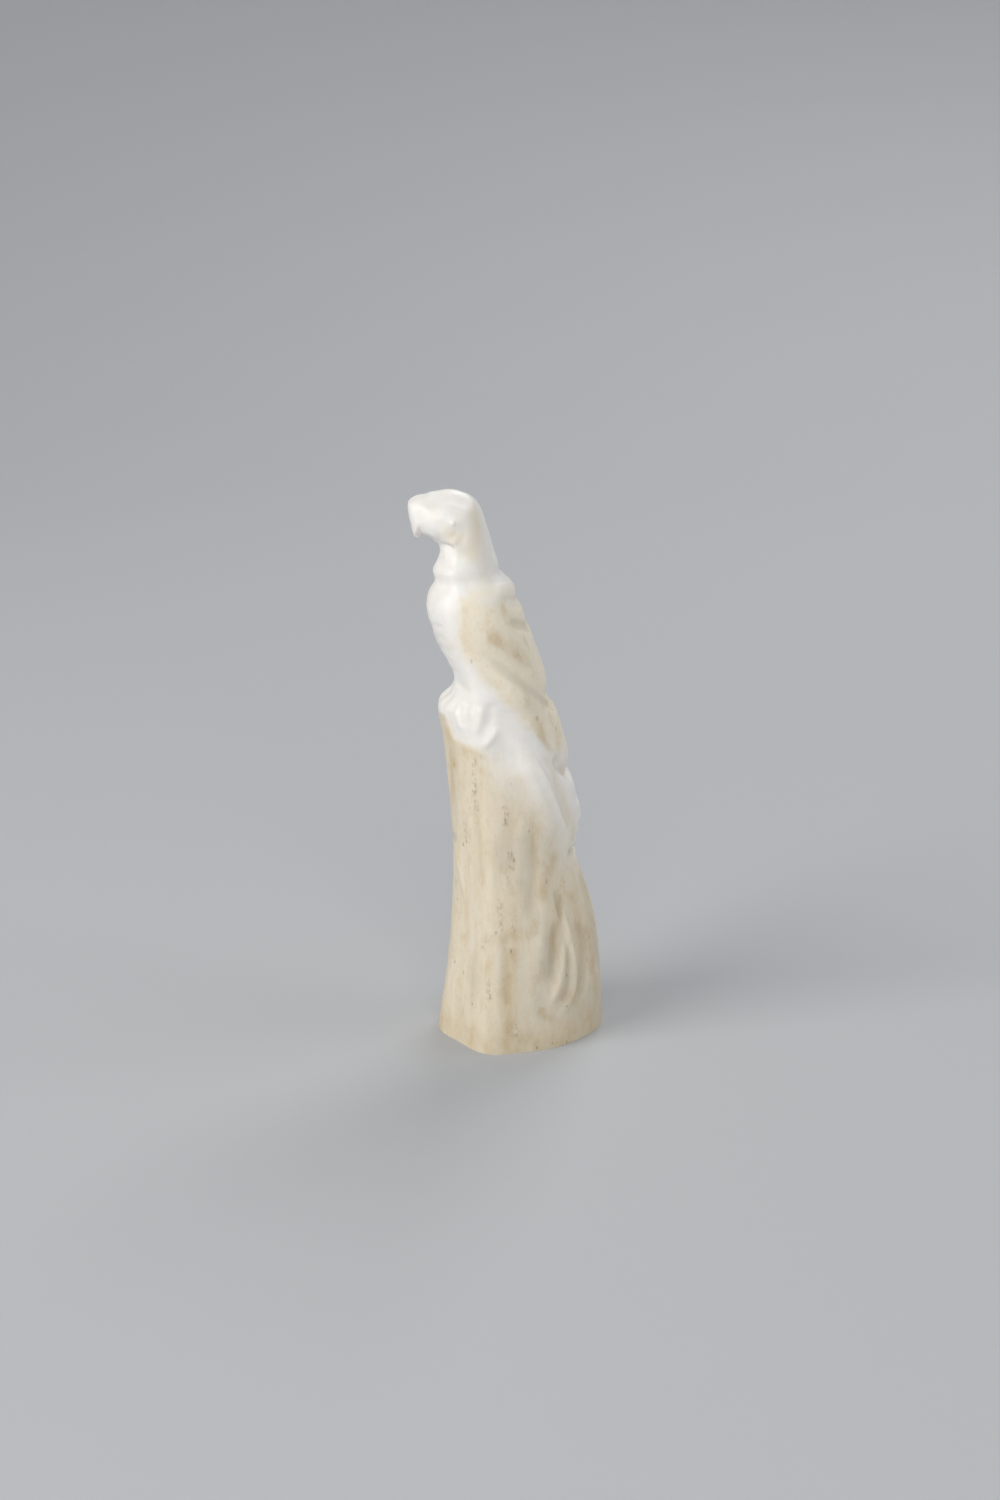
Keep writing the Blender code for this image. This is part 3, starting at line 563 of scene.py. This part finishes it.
PALE_AND_HIGHLIGHTS = {
    # Painted highlight: the back of the wing faces up to the lamps.
    "back of the wing": (0.85, 3.2, 3.2, (1, -1), [
        (-0.6, -2.6, 78.4), (0.4, -2.4, 75.0), (1.9, -2.4, 70.4), (3.2, -2.4, 66.0)]),
    # Painted highlight along the wing's edge.
    "edge of the wing": (0.70, 1.8, 1.8, (1, -1), [
        (5.0, -1.2, 60.4), (6.4, -1.2, 56.4), (7.4, -1.2, 53.0)]),
    # Painted highlight on the top of the shoulder.
    "shoulder": (0.9, 2.0, 2.2, (1, -1), [
        (-8.0, -6.8, 82.6), (-5.0, -5.6, 82.6), (-2.6, -2.4, 82.0), (-2.2, 0, 81.8)]),
    # Painted highlight on the lit slope below the coverts' end.
    "coverts' end": (0.75, 0.8, 2.0, (1, -1), [
        (-7.6, -9.1, 72.4), (-4.5, -8.6, 70.6), (-2.0, -8.0, 68.6), (1.2, -6.1, 65.6),
        (4.2, 0, 62.4)]),
    # Painted highlight on the ridge at the front of the stump.
    "front of the stump": (0.6, 1.4, 1.4, (1,), [
        (-10.2, -6.9, 37.3), (-10.6, -6.4, 33.0), (-10.9, -5.8, 29.4)]),
    "band 1": (0.8, 1.5, 1.5, (1,), [(0.5, -10.2, 43.0), (0.6, -10.6, 38.0), (0.3, -11.0, 33.0)]),
    "band 2": (0.8, 1.2, 1.2, (1,), [(3.8, -10.4, 29.0), (3.5, -11.0, 24.0), (3.0, -11.5, 18.0)]),
    "band 3": (0.5, 1.8, 1.8, (1,), [
        (-5.6, -11.3, 33.0), (-5.4, -11.9, 27.0), (-5.2, -12.3, 20.0)]),
    "low": (0.7, 2.2, 2.2, (1,), [(-0.1, -12.3, 16.4), (0.4, -12.3, 11.0), (0.7, -12.3, 5.0)]),
    # Painted highlights on the burl's crests, its fold and its rim.
    "burl's fold": (0.8, 0.9, 0.9, (1,), [
        (7.4, -8.5, 21.0), (7.2, -9.0, 17.5), (6.8, -9.5, 13.8), (6.1, -10.1, 11.0),
        (5.0, -10.7, 8.9)]),
    "burl's rim": (0.9, 1.0, 1.0, (1,), [
        (8.4, -8.0, 19.0), (8.8, -8.4, 14.0), (8.4, -9.0, 8.6), (6.4, -10.2, 6.3)]),
}
# Along these lines the pits crowd.
PITTED = {
    "near": [
        (-8.4, -9.5, 53.6), (-8.6, -9.3, 51.0), (-8.3, -9.5, 49.1), (-8.7, -9.2, 46.8),
        (-8.2, -9.6, 44.6)],
    "left": [(-10.1, -7.4, 41.4), (-10.2, -7.3, 40.2), (-10.0, -7.4, 38.4)],
    "middle": [(-3.3, -10.9, 45.4), (-3.1, -10.9, 44.0), (-3.0, -10.9, 42.6)],
    "below the middle": [(-2.1, -11.3, 37.2), (-2.1, -11.3, 36.0), (-2.2, -11.4, 34.6)],
    "low": [(-4.0, -12.3, 28.2), (-3.9, -12.4, 25.8), (-3.9, -12.5, 23.6)],
    "left of the low ones": [(-6.9, -11.3, 22.0), (-6.8, -11.3, 20.9), (-6.8, -11.4, 19.6)],
    "right of the low ones": [(-1.7, -12.3, 24.4), (-1.7, -12.3, 23.5), (-1.6, -12.3, 22.6)],
    "lower": [(-6.1, -12.7, 13.2), (-6.1, -12.7, 12.0), (-6.0, -12.7, 10.6)],
    "lowest": [(-1.3, -12.9, 5.6), (-1.3, -12.9, 4.6), (-1.2, -12.9, 3.6)],
    "far": [(-7.6, 9.6, 50.0), (-7.4, 9.8, 46.0), (-7.0, 10.2, 41.0)],
    "far low": [(1.2, 11.2, 26.0), (1.4, 11.6, 21.0), (1.2, 11.8, 15.0)],
}
PIT_REACH = 0.8
DEEP = 0.25 * MM  # as deep as this, a groove holds all the dirt that it can


def painted(strokes):
    """The strongest of the strokes at each vertex."""
    total = np.zeros(len(skin.places))
    for strength, upper, lower, sides, points in strokes.values():
        near = skin.both(points, upper, lower, sides, taper=0)
        total = np.maximum(total, strength * smoothstep(near))
    return total


# Stains, with painted shade among them, and paler bands, with painted highlights among them.
stain_and_shade = painted(STAINS_AND_SHADE)
pale = painted(PALE_AND_HIGHLIGHTS)
pitted = painted({
    name: (1.0, PIT_REACH, PIT_REACH, (1,), line) for name, line in PITTED.items()
})
carved = np.clip(cut / DEEP, -1.0, 1.0)
painting = {
    "bark": bark, "fibrous": stump, "stain_and_shade": stain_and_shade, "pale": pale, "pitted": pitted,
    "carved": carved
}
for name, values in painting.items():
    layer = shape.verts.layers.float.new(name)
    for vertex, value in zip(shape.verts, values):
        vertex[layer] = value
    print(f"{name} reaches from {values.min():.2f} to {values.max():.2f}")

# %% [markdown]
# ## A small class for shader maths
# Blender has a node for every sum. This class lets a sum be written as one: adding,
# subtracting or multiplying two sockets makes the Math node. Every other node comes from one
# method, which takes the node's type, its settings and the values or links of its sockets.

# %% Write shader maths as Python
class Socket:
    """An output that Python's arithmetic can use."""

    def __init__(self, finish, socket):
        self.finish = finish
        self.socket = socket

    def maths(self, operation, first, second, clamp=False):
        settings = {"operation": operation, "use_clamp": clamp}
        return self.finish.node("ShaderNodeMath", settings, {0: first, 1: second})

    def __add__(self, other):
        return self.maths("ADD", self, other)

    def __sub__(self, other):
        return self.maths("SUBTRACT", self, other)

    def __rsub__(self, other):
        return self.maths("SUBTRACT", other, self)

    def __mul__(self, other):
        return self.maths("MULTIPLY", self, other)

    def clamped(self):
        return self.maths("ADD", self, 0.0, clamp=True)

    __radd__ = __add__
    __rmul__ = __mul__


class Finish:
    """A material, its shader's constants and the nodes that feed it."""

    def __init__(self, name, **constants):
        self.material = bpy.data.materials.new(name)
        self.material.use_nodes = True
        self.tree = self.material.node_tree
        self.shader = self.tree.nodes["Principled BSDF"]
        for socket, value in constants.items():
            self.shader.inputs[socket.replace("_", " ")].default_value = value
        self.place = self.node("ShaderNodeTexCoord", output="Object")

    def node(self, kind, settings=(), inputs=(), output=0):
        made = self.tree.nodes.new(kind)
        for name, value in dict(settings).items():
            setattr(made, name, value)
        for name, value in dict(inputs).items():
            self.feed(made.inputs[name], value)
        return Socket(self, made.outputs[output])

    def feed(self, target, value):
        if isinstance(value, Socket):
            self.tree.links.new(value.socket, target)
        else:
            target.default_value = value

    def mix(self, factor, first, second):
        """A colour between two."""
        settings = {"data_type": "RGBA"}
        return self.node("ShaderNodeMix", settings, {0: factor, 6: first, 7: second}, output=2)

    def painted(self, name):
        """A value painted on the vertices."""
        settings = {"attribute_name": name}
        return self.node("ShaderNodeAttribute", settings, output="Fac")

    def stretched(self, size, stretch=(1, 1, 1)):
        """The place on the object, with one unit to each size in millimetres."""
        scale = [1 / (size * s * MM) for s in stretch]
        return self.node("ShaderNodeMapping", inputs={"Vector": self.place, "Scale": scale})

    def noise(self, size, stretch=(1, 1, 1), detail=3.0, roughness=0.5):
        inputs = {"Vector": self.stretched(size, stretch), "Scale": 1.0, "Detail": detail,
                  "Roughness": roughness}
        return self.node("ShaderNodeTexNoise", inputs=inputs)

    def ramp(self, value, low, high):
        """The value's rise from low to high as 0 to 1, smoothly."""
        settings = {"interpolation_type": "SMOOTHSTEP"}
        inputs = {"Value": value, "From Min": low, "From Max": high}
        return self.node("ShaderNodeMapRange", settings, inputs)


# %% [markdown]
# ## The antler's material
# Polished antler is near white and a little waxy, because light goes some way into it. Its
# skin is tan in long streaks, greyer and browner in patches, with dark pits that are longer
# than they are wide. The noise is stretched along the tine for the streaks. The pits come
# from cells of a Voronoi pattern, of which only a few are dark, and more where they are
# painted to crowd. Grooves hold a little dirt. Paler bands are painted on the skin, and
# painted highlights on the crests and edges that face the lamps; the stains carry painted
# shade on the tail's side and in the burl's hollow.

# %% Mix the antler
def linear(red, green, blue):
    """A colour of a screen, from 0 to 255, as the light that it stands for."""
    shares = (c / 255 for c in (red, green, blue))
    return (*(s / 12.92 if s < 0.04 else ((s + 0.055) / 1.055) ** 2.4 for s in shares), 1.0)


POLISHED = linear(244, 240, 235)
CREAM = linear(235, 229, 218)
TAN = linear(225, 211, 185)
PALE_TAN = linear(231, 221, 200)
WING_TAN = linear(242, 233, 213)
GREY_TAN = linear(212, 202, 182)
BROWN = linear(203, 180, 140)
# The stains' colour on white antler, which also paints the shade on the tail's side.
YELLOW_STAIN_AND_SHADE = linear(226, 213, 178)
DIRT = linear(168, 150, 122)
PIT = linear(128, 116, 98)
# These strengths mix in the paler bands with painted highlights, and the stains with painted shade.
PALE_AND_HIGHLIGHT_STRENGTH = 0.8
STAIN_AND_SHADE_STRENGTH = 0.75
DIRT_STRENGTH = 0.50
PIT_STRENGTH = 0.62
PIT_SIZE = 0.5
PIT_SHAPE = (1, 1, 1.9)  # longer along the tine
PITS_ON_WING = 0.004  # the share of the cells that are pits
PITS_ON_STUMP = 0.010  # and so much more on the stump
PITS_WHERE_CROWDED = 0.46
SMOOTHEST = 0.40
PIT_RELIEF = 1.3
RELIEF_HEIGHT = 0.10 * MM
RELIEF_STRENGTH = 0.7

antler = Finish("antler", Subsurface_Weight=0.25, Subsurface_Scale=1.2 * MM,
                Subsurface_Radius=(1.0, 0.75, 0.55), IOR=1.54)
bark_mask, fibrous_mask, stain_and_shade_mask, pale_and_highlight_mask, pitted_mask, carved_mask = (
    antler.painted(name) for name in painting
)

streaks = antler.noise(1.9, (1, 1, 5), detail=5.0, roughness=0.65)
fine_streaks = antler.noise(0.5, (1, 1, 3))
patches = antler.noise(8.0, (1, 1, 2.2))
mottling = antler.noise(2.4, (1, 1, 1.5), detail=5.0, roughness=0.65)
grain = antler.noise(0.45, (1, 1, 1.6), roughness=0.6)

paler = 0.80 - 0.80 * fibrous_mask * (1 - antler.ramp(streaks, 0.35, 0.65))
skin_colour = antler.mix(paler, TAN, antler.mix(fibrous_mask, WING_TAN, PALE_TAN))
greyer = antler.ramp(patches, 0.5, 0.7) * (0.35 + 0.35 * fibrous_mask)
skin_colour = antler.mix(greyer, skin_colour, GREY_TAN)
skin_colour = antler.mix(antler.ramp(mottling, 0.48, 0.75) * 0.45, skin_colour, BROWN)
browner = antler.ramp(fine_streaks, 0.50, 0.75) * 0.16 * fibrous_mask
skin_colour = antler.mix(browner, skin_colour, BROWN)
white_colour = antler.mix(antler.ramp(mottling, 0.4, 0.72) * 0.6, POLISHED, CREAM)
colour = antler.mix(bark_mask, white_colour, skin_colour)
# Paler bands, and painted highlights on the lit crests and edges.
colour = antler.mix(pale_and_highlight_mask * PALE_AND_HIGHLIGHT_STRENGTH, colour, antler.mix(fibrous_mask, WING_TAN, PALE_TAN))
# Brown stains, and painted shade on the tail's side and in the burl's hollow.
blotches = 0.55 + 0.9 * antler.ramp(mottling, 0.3, 0.7)
stained_and_shaded = (stain_and_shade_mask * (blotches * bark_mask + 0.8 * (1 - bark_mask))).clamped()
colour = antler.mix(stained_and_shaded * STAIN_AND_SHADE_STRENGTH, colour, antler.mix(bark_mask, YELLOW_STAIN_AND_SHADE, BROWN))

pit_cells = antler.stretched(PIT_SIZE, PIT_SHAPE)
pit_settings = {"feature": "F1"}
pit_inputs = {"Vector": pit_cells, "Scale": 1.0, "Randomness": 1.0}
pit_distance = antler.node("ShaderNodeTexVoronoi", pit_settings, pit_inputs, output="Distance")
pit_choice = antler.node("ShaderNodeTexVoronoi", pit_settings, pit_inputs, output="Color")
chosen = antler.node("ShaderNodeSeparateColor", inputs={"Color": pit_choice})
share = PITS_ON_WING * bark_mask + PITS_ON_STUMP * fibrous_mask
share = share + PITS_WHERE_CROWDED * pitted_mask
is_pit = chosen.maths("LESS_THAN", chosen, share)
pit_edge = pit_distance + 0.9 * (grain - 0.5)
pit_depth = is_pit * (1 - antler.ramp(pit_edge, 0.0, 0.55)) * bark_mask
colour = antler.mix(pit_depth * PIT_STRENGTH, colour, PIT)
dirt = pitted_mask * antler.ramp(grain, 0.40, 0.65) * DIRT_STRENGTH
colour = antler.mix(dirt, colour, DIRT)
grooves = antler.ramp(carved_mask, 0.2, 1.0)
colour = antler.mix(grooves * (0.06 + 0.16 * bark_mask), colour, DIRT)
colour = antler.mix(antler.ramp(grain, 0.55, 0.8) * 0.25 * bark_mask, colour, DIRT)
antler.feed(antler.shader.inputs["Base Color"], colour)

rough = SMOOTHEST + 0.10 * bark_mask + 0.10 * antler.ramp(mottling, 0.35, 0.7)
antler.feed(antler.shader.inputs["Roughness"], (rough + 0.25 * pit_depth).clamped())
fine_relief = (0.5 * streaks + 0.35 * fine_streaks) * fibrous_mask + 0.25 * grain * bark_mask
fine_relief = fine_relief + 0.12 * mottling - PIT_RELIEF * pit_depth
bump_inputs = {"Height": fine_relief, "Distance": RELIEF_HEIGHT, "Strength": RELIEF_STRENGTH}
bump = antler.node("ShaderNodeBump", inputs=bump_inputs)
antler.feed(antler.shader.inputs["Normal"], bump)
print("the antler has", len(antler.tree.nodes), "nodes")

# %% [markdown]
# ## The sawn end
# Under the base the saw has left the section of the antler: a hard white wall round a brown,
# porous core. It is hardly seen, so its pores are in the material and the face stays flat, as
# the carving stands on it.

# %% Mix the sawn end
END_RADIUS = 14.0
END_SHAPE = (1, 0.82, 1)  # an oval, as the base is
SAW_MARK_DEPTH = 0.15 * MM
WALL = linear(226, 214, 190)
CORE = linear(190, 168, 132)
PORE = linear(120, 100, 76)

sawn_end = Finish("sawn_antler", Roughness=0.6)
from_middle = sawn_end.node(
    "ShaderNodeVectorMath", {"operation": "LENGTH"},
    {0: sawn_end.stretched(END_RADIUS, END_SHAPE)}, output="Value")
core_noise = sawn_end.noise(3.0)
core = 1 - sawn_end.ramp(from_middle + 0.3 * core_noise, 0.55, 0.85)
pores = sawn_end.node("ShaderNodeTexVoronoi", {"feature": "F1"},
                      {"Vector": sawn_end.stretched(0.8), "Scale": 1.0}, output="Distance")
pore_depth = (1 - sawn_end.ramp(pores, 0.2, 0.5)) * core
saw_marks = sawn_end.noise(0.5, (1, 30, 1))
end_colour = sawn_end.mix(core, WALL, CORE)
end_colour = sawn_end.mix(pore_depth * 0.8, end_colour, PORE)
sawn_end.feed(sawn_end.shader.inputs["Base Color"], end_colour)
end_relief = saw_marks * 0.6 - pore_depth
end_bump_inputs = {"Height": end_relief, "Distance": SAW_MARK_DEPTH}
end_bump = sawn_end.node("ShaderNodeBump", inputs=end_bump_inputs)
sawn_end.feed(sawn_end.shader.inputs["Normal"], end_bump)

# %% Make the finished piece
base_faces = [f for f in shape.faces if f.calc_center_median().z < NO_DISTANCE]
for face in shape.faces:
    face.smooth = True
    face.material_index = 0
for face in base_faces:
    face.material_index = 1
    face.smooth = False
mesh = bpy.data.meshes.new("carved_eagle")
shape.to_mesh(mesh)
shape.free()
eagle = bpy.data.objects.new("carved_eagle", mesh)
bpy.context.scene.collection.objects.link(eagle)
mesh.materials.append(antler.material)
mesh.materials.append(sawn_end.material)
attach(eagle, "root")
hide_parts("eagle_carving")
print("the carving has", 2 * len(mesh.polygons), "triangles")

# %% [markdown]
# ## The floor, the light and the camera
# A pale sheet lies under the carving and curves up on every side, as the paper sweep of a
# product photographer does, so that no horizon shows in the photograph's view. It is the
# profile of a bowl, spun round.

# %% Lay the sweep
FLOOR_RADIUS = 0.5
SWEEP_RADIUS = 0.9
STEPS_UP = 12
STEPS_ROUND = 96

sweep = bmesh.new()
profile = [sweep.verts.new((0.0, 0.0, 0.0)), sweep.verts.new((FLOOR_RADIUS, 0.0, 0.0))]
for step in range(1, STEPS_UP + 1):
    turn = math.radians(90) * step / STEPS_UP
    out_by = FLOOR_RADIUS + SWEEP_RADIUS * math.sin(turn)
    profile.append(sweep.verts.new((out_by, 0.0, SWEEP_RADIUS * (1 - math.cos(turn)))))
outline = [sweep.edges.new(pair) for pair in zip(profile, profile[1:])]
bmesh.ops.spin(
    sweep, geom=profile + outline, axis=(0, 0, 1), cent=(0, 0, 0), angle=math.tau,
    steps=STEPS_ROUND, use_merge=True
)
bmesh.ops.remove_doubles(sweep, verts=sweep.verts, dist=0.1 * MM)
bmesh.ops.recalc_face_normals(sweep, faces=sweep.faces)
for face in sweep.faces:
    face.smooth = True
if sum(f.normal.z for f in sweep.faces) < 0:
    bmesh.ops.reverse_faces(sweep, faces=sweep.faces)
floor = bpy.data.objects.new("floor", bpy.data.meshes.new("floor"))
sweep.to_mesh(floor.data)
sweep.free()
bpy.context.scene.collection.objects.link(floor)
paper = Finish("pale paper", Base_Color=linear(186, 187, 189), Roughness=0.9)
floor.data.materials.append(paper.material)

# %% Hang the lamps
AIM = Vector((0, 0, 0.05))
ROOM_TINT = (0.9, 0.95, 1.0, 1.0)
ROOM_STRENGTH = 0.30


def softbox(name, place, size, watts, tint):
    """A square lamp that faces the carving."""
    lamp = bpy.data.lights.new(name, "AREA")
    lamp.size = size
    lamp.energy = watts
    lamp.color = tint
    hung = bpy.data.objects.new(name, lamp)
    hung.location = place
    hung.rotation_euler = (AIM - Vector(place)).to_track_quat("-Z", "Y").to_euler()
    hung.visible_camera = False
    bpy.context.scene.collection.objects.link(hung)


softbox("key", (-0.68, -0.42, 0.55), 0.55, 5.2, (1.0, 0.99, 0.97))
softbox("front", (0.05, -0.90, 0.45), 0.60, 2.4, (1.0, 1.0, 1.0))
softbox("right", (0.75, -0.10, 0.45), 0.60, 1.3, (0.98, 0.99, 1.0))
softbox("back", (0.25, 0.65, 0.75), 0.50, 3.2, (1.0, 1.0, 1.0))
room = bpy.data.worlds.new("room")
room.use_nodes = True
background = room.node_tree.nodes["Background"]
background.inputs["Color"].default_value = ROOM_TINT
background.inputs["Strength"].default_value = ROOM_STRENGTH
bpy.context.scene.world = room
bpy.context.scene.view_settings.view_transform = "Standard"

# %% [markdown]
# The photograph is taken from 17 degrees above, a little under half a metre away, so the
# camera stands there. Its long side sees 33 degrees.

# %% Place the camera
CAMERA_PLACE = Vector((-3.83, -402.5, 173.1)) * MM
CAMERA_LOOKS_DOWN = 17  # degrees

camera = bpy.data.objects.new("camera", bpy.data.cameras.new("camera"))
camera.data.lens = 60
camera.data.sensor_width = 36
camera.data.clip_start = 0.01
camera.location = CAMERA_PLACE
camera.rotation_euler = (math.radians(90 - CAMERA_LOOKS_DOWN), 0, 0)
bpy.context.scene.collection.objects.link(camera)
bpy.context.scene.camera = camera
